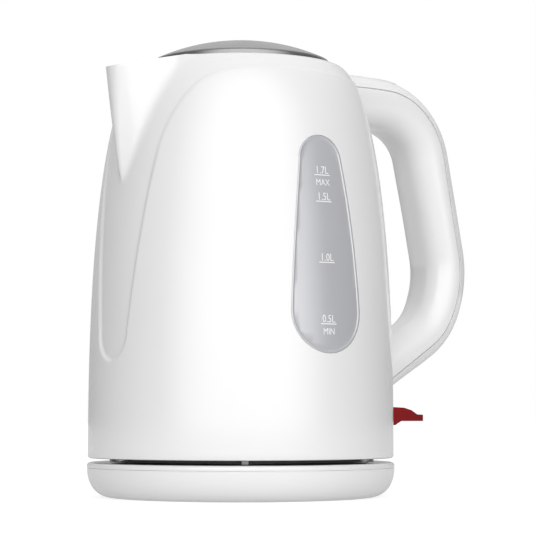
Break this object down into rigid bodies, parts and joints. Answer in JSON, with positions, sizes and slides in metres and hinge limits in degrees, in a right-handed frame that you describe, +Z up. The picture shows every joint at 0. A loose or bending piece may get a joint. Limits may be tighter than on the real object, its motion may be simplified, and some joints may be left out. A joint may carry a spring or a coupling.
{
  "type": "electric kettle",
  "caption": "Cordless electric kettle with a tall tapered jug, side water windows, hinged domed lid, loop handle and a round power base.",
  "frame": {"origin": "on the power base's axis, in the plane the base stands on", "axes": "+Z up along the jug's axis, +X towards the handle, -X towards the spout, water windows facing -Y and +Y"},
  "size_m": [0.2227, 0.158, 0.2356],
  "materials": {
    "white_gloss": "gloss",
    "white_satin": "satin",
    "window_grey": "gloss",
    "lid_silver": "gloss",
    "switch_red": "gloss",
    "inner_grey": "matte",
    "black_plastic": "matte",
    "silicone": "matte",
    "rubber_grey": "matte",
    "steel": "brushed",
    "zinc_steel": "satin",
    "alloy": "satin",
    "brass": "satin",
    "clear_glass": "gloss"
  },
  "bodies": {
    "power_base": {"base_pan": "white_gloss", "base_cover": "white_gloss", "base_feet": "rubber_grey", "base_screws": "zinc_steel", "base_connector": "white_satin", "base_contacts": "brass", "cord_gland": "white_satin", "cord_clamp": "white_satin", "cord_clamp_screws": "zinc_steel", "base_leads": "silicone"},
    "lid": {"lid_cover": "lid_silver", "lid_liner": "white_satin", "lid_seal": "silicone", "lid_screws": "zinc_steel"},
    "button": {"lid_button": "white_satin"},
    "latch": {"latch_slider": "white_satin"},
    "switch": {"switch_lever": "switch_red"},
    "trip": {"trip_lever": "inner_grey"},
    "spout_filter": {"filter_frame": "white_satin", "filter_mesh": "steel"},
    "jug": {"jug_shell": "white_gloss", "jug_floor": "white_satin", "spout": "white_gloss", "lid_collar": "white_gloss", "window_right": "window_grey", "window_left": "window_grey", "bottom_cover": "inner_grey", "bottom_screws": "zinc_steel", "jug_feet": "white_satin", "heater_plate": "steel", "heater_seal": "silicone", "heater_diffuser": "alloy", "heater_element": "alloy", "element_terminals": "zinc_steel", "heater_clamp_ring": "zinc_steel", "heater_clamp_screws": "zinc_steel", "control_body": "black_plastic", "bimetal_discs": "brass", "jug_connector": "black_plastic", "connector_pin": "brass", "switch_bracket": "inner_grey", "switch_pivot": "steel", "steam_bimetal": "brass", "switch_lamp": "clear_glass", "lamp_leads": "silicone", "handle_frame": "white_gloss", "handle_cover": "white_gloss", "handle_screws": "zinc_steel", "steam_tube": "silicone", "latch_spring": "steel", "hinge_pin": "steel", "lid_spring": "steel"}
  },
  "joints": [
    {"name": "jug_lift", "type": "slide", "parent": "power_base", "child": "jug", "axis": [0, 0, 1], "range_m": [0, 0.08]},
    {"name": "lid_hinge", "type": "hinge", "parent": "jug", "child": "lid", "pos_m": [0.051, 0, 0.2187], "axis": [0, 1, 0], "range_deg": [0, 85]},
    {"name": "button_press", "type": "slide", "parent": "jug", "child": "button", "axis": [0, 0, -1], "range_m": [0, 0.003], "stiffness_N_per_m": 900, "springref_m": -0.002},
    {"name": "latch_slide", "type": "slide", "parent": "jug", "child": "latch", "axis": [1, 0, 0], "range_m": [0, 0.003], "deforming": ["latch_spring"]},
    {"name": "switch_rock", "type": "hinge", "parent": "jug", "child": "switch", "pos_m": [0.072, 0, 0.0405], "axis": [0, 1, 0], "range_deg": [0, 12]},
    {"name": "trip_rock", "type": "hinge", "parent": "jug", "child": "trip", "pos_m": [0.056, 0, 0.0405], "axis": [0, 1, 0], "range_deg": [-19.5, 0]},
    {"name": "filter_lift", "type": "slide", "parent": "jug", "child": "spout_filter", "axis": [0.3162, 0, 0.9487], "range_m": [0, 0.046]}
  ],
  "couplings": [
    {"joint": "latch_slide", "follows": "button_press", "ratio": 1},
    {"joint": "trip_rock", "follows": "switch_rock", "ratio": -1.6}
  ]
}
